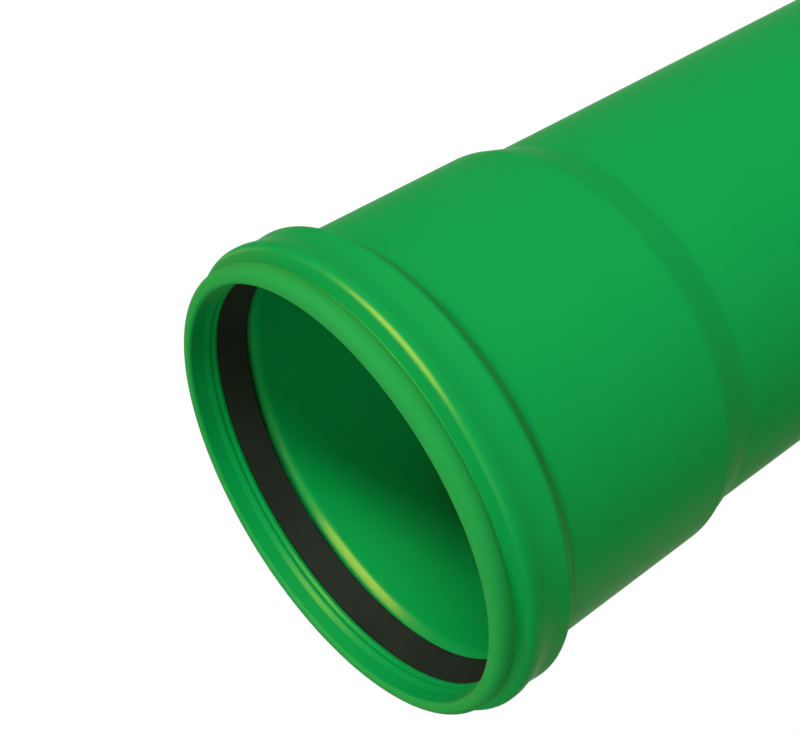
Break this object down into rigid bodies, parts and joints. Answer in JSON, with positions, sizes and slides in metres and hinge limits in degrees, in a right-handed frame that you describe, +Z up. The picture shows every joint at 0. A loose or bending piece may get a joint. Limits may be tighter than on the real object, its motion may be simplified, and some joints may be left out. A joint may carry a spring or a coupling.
{
  "type": "socketed cable conduit",
  "caption": "Straight plastic cable conduit with a formed push-fit socket and a rubber sealing ring, plain bevelled spigot at the other end.",
  "frame": {"origin": "bottom centre of the bounding box: on the axis of the pipe, on the floor that its plain end stands on", "axes": "+Z up along the pipe, out of the mouth of the socket; X and Y across, with nothing to tell them apart"},
  "size_m": [0.1256, 0.1254, 1.0765],
  "materials": {
    "green_plastic": "satin to gloss extruded plastic, green all through",
    "black_rubber": "matte moulded rubber"
  },
  "bodies": {
    "root": {"conduit_pipe": "green_plastic", "sealing_ring": "black_rubber"}
  },
  "joints": []
}
